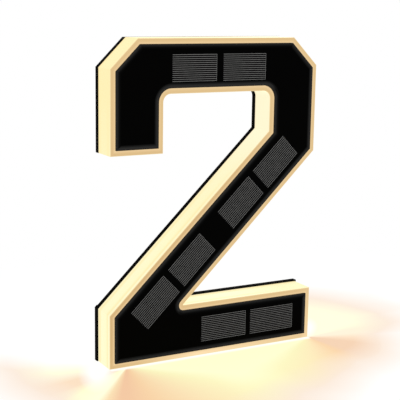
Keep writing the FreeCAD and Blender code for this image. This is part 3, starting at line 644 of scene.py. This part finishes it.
HOT_EDGE = 1.7
# The hot spots are painted light: a patch of bare white glow on the floor at each end of the foot.
HOT_SPOTS = (  # middle x and y, slant, half width and half length of a bare white patch at each end
    (-0.0784, -0.0054, 0.42, 0.0078, 0.0215),
    (0.0820, 0.0060, 0.68, 0.0060, 0.0120),
)
SPILL_HOT = (1.0, 1.0, 0.97)
SPILL_PALE = (1.0, 1.0, 0.715)
SPILL_LEMON = (1.0, 1.0, 0.63)
SPILL_YELLOW = (0.96, 0.91, 0.51)
SPILL_GOLD = (0.95, 0.815, 0.465)
SPILL_CREAM = (0.941, 0.722, 0.42)
SPILL_APRICOT = (0.922, 0.628, 0.35)
SPILL_PEACH = (0.885, 0.55, 0.325)
SPILL_ROSY = (0.873, 0.60, 0.40)
SPILL_BLUSH = (0.941, 0.715, 0.506)
SPILL_MILKY = (0.955, 0.86, 0.655)
SPILL_FAINT = (0.930, 0.785, 0.662)
SPILL_WHITE = (1.0, 1.0, 1.0)


def shown(source):
    """1 for the rays that show a background, from the camera, a gloss or a clear piece, and 0 for light."""
    kinds = ("Is Camera Ray", "Is Glossy Ray", "Is Transmission Ray")
    straight, mirrored, through = [source.node("ShaderNodeLightPath", {}, output=kind) for kind in kinds]
    return (straight + mirrored + through).clamped()


bpy.ops.object.select_all(action="DESELECT")
bpy.ops.mesh.primitive_plane_add(size=FLOOR_SIZE, location=(0.0, 0.0, 0.0))
floor = bpy.context.active_object
floor.name = "floor"
table_top, shader, place = start_material(
    "pale_table", Base_Color=(*FLOOR_PALE, 1.0), Roughness=0.40, Specular_IOR_Level=0.25,
)

# Where a point of the floor lies from the foot, and its direction round the foot and round each fan's apex.
x, y, _ = place.split()
patches = place.noise(PATCH_SCALE, detail=1.0) - 0.5
ahead = FOOT_LOW.y - y
outside = (x.magnitude() - FOOT_HALF).at_least(NO_DISTANCE)
in_front = ahead.at_least(0.0)
behind = (y - FOOT_HIGH.y).at_least(0.0)
distance = outside.length(in_front, behind)
turn = outside.half_turns(in_front - behind)
widest = in_front * -FAN_WIDEST
left_aside = (LEFT_APEX - x).at_least(widest)
left_turn = (left_aside.half_turns(ahead) + patches * PATCH_TURN - FAN_START) / FAN_SPAN
right_aside = (x - RIGHT_APEX).at_least(widest)
right_turn = (right_aside.half_turns(ahead) + patches * PATCH_TURN - FAN_START) / FAN_SPAN

# The painted light of the two fans, coloured by direction, paler with distance and lost in white past their
# reach.
left_fan = left_turn.ramp(
    (0.07, SPILL_LEMON), (0.13, SPILL_YELLOW), (0.19, SPILL_GOLD), (0.25, SPILL_CREAM), (0.32, SPILL_APRICOT),
    (0.38, SPILL_PEACH), (0.40, SPILL_PEACH), (0.43, SPILL_CREAM), (0.452, SPILL_PALE), (0.51, SPILL_LEMON),
    (0.56, SPILL_BLUSH), (0.605, SPILL_BLUSH), (0.65, SPILL_MILKY), (0.70, SPILL_PALE), (0.80, SPILL_HOT),
    (0.93, SPILL_WHITE),
)
right_fan = right_turn.ramp(
    (0.04, SPILL_LEMON), (0.09, SPILL_YELLOW), (0.16, SPILL_GOLD), (0.22, SPILL_CREAM), (0.29, SPILL_APRICOT),
    (0.34, SPILL_ROSY), (0.46, SPILL_ROSY), (0.53, SPILL_BLUSH), (0.59, SPILL_MILKY), (0.64, SPILL_MILKY),
    (0.70, SPILL_PALE),
)
rightward = (x / FANS_MEET_OVER + 0.5).clamped()
fan = rightward.blend(left_fan, right_fan)
held = x.at_most(FOOT_HALF).at_least(-FOOT_HALF)
reach_behind = turn.rise(BEHIND_FROM, BEHIND_OVER) * (REACH_RIGHT_BEHIND - REACH_RIGHT)
reach_beside = rightward * (reach_behind + (REACH_RIGHT - REACH_LEFT)) + REACH_LEFT
reach_front = REACH_FRONT - held * REACH_LEAN
sideways = (turn / SIDEWAYS_OVER).clamped()
reach = reach_front + sideways * (reach_beside - reach_front)
gone = distance / reach + patches * PATCH_REACH
fan = gone.rise(FAINT_FROM, FAINT_OVER).blend(fan, SPILL_FAINT)
unlit_behind = turn.rise(UNLIT_BEHIND_FROM, UNLIT_BEHIND_OVER) * (1.0 - rightward)
fan = gone.rise(WHITE_FROM, WHITE_OVER).at_least(unlit_behind).blend(fan, SPILL_WHITE)

# Painted light, bare white, in a line along the foot's front and in a patch at each end.
hot_light = (HOT_EDGE - in_front / HOT_LINE).clamped() * (outside < NO_DISTANCE * 2.0) * (in_front > 0.0)
for spot_x, spot_y, slant, half_width, half_length in HOT_SPOTS:
    across_spot = (x - spot_x - (y - spot_y) * slant) / half_width
    along_spot = (y - spot_y) / half_length
    hot_light = hot_light.at_least((HOT_EDGE - across_spot.length(along_spot)).clamped())
fan = hot_light.blend(fan, SPILL_HOT)

# The painted glow is only what is shown: light that reaches the sign comes from the plain pale floor.
kept = (1.0 - distance.rise(FADE_FROM, FADE_OVER)) * (1.0 - SEEN_NEAR)
fade = (1.0 - kept) * shown(place)
fan = place.node("ShaderNodeVectorMath", {0: fan, "Scale": 1.0 + kept * SEEN_GAIN}, operation="SCALE")
painted_spill = place.node("ShaderNodeEmission", {"Color": fan, "Strength": 1.0})
mixed = place.node("ShaderNodeMixShader", {0: fade, 1: Shade(place.tree, shader.outputs[0]), 2: painted_spill})
feed(place.tree.nodes["Material Output"], "Surface", mixed)
floor.data.materials.append(table_top)

SURROUND_LIGHT = 0.55
LAMP_SIZE = 0.6
LAMP_AIM = Vector((0.0, 0.0, FOOT_HIGH.z / 2))

world = bpy.data.worlds.new("surround")
bpy.context.scene.world = world
world.use_nodes = True
background = world.node_tree.nodes["Background"]
background.inputs["Color"].default_value = (*SPILL_WHITE, 1.0)
feed(background, "Strength", shown(Shade(world.node_tree)).between(SURROUND_LIGHT, 1.0))


def soft_lamp(name, at, power):
    """A square lamp that points at the middle of the sign."""
    lamp = bpy.data.lights.new(name, "AREA")
    lamp.size = LAMP_SIZE
    lamp.energy = power
    holder = bpy.data.objects.new(name, lamp)
    holder.location = at
    holder.rotation_euler = (LAMP_AIM - Vector(at)).to_track_quat("-Z", "Y").to_euler()
    bpy.context.scene.collection.objects.link(holder)


soft_lamp("key_lamp", at=(-0.7, -0.9, 1.1), power=6.0)
soft_lamp("rim_lamp", at=(0.8, 0.7, 0.9), power=4.0)

CAMERA_AIM = Vector((-0.00319, 0.00555, 0.09731))
CAMERA_DISTANCE = 0.66485
AZIMUTH = math.radians(28.662)
ELEVATION = math.radians(10.969)
ROLL = math.radians(0.874)

optics = bpy.data.cameras.new("camera")
optics.sensor_width = 36.0
optics.lens = 94.035
camera = bpy.data.objects.new("camera", optics)
sideways_turn = Matrix.Rotation(-AZIMUTH, 4, "Z")
downward_tilt = Matrix.Rotation(math.pi / 2 - ELEVATION, 4, "X")
view = sideways_turn @ downward_tilt @ Matrix.Rotation(ROLL, 4, "Z")
camera.matrix_world = Matrix.Translation(CAMERA_AIM) @ view @ Matrix.Translation((0.0, 0.0, CAMERA_DISTANCE))
bpy.context.scene.collection.objects.link(camera)
bpy.context.scene.camera = camera
bpy.context.scene.view_settings.view_transform = "Standard"
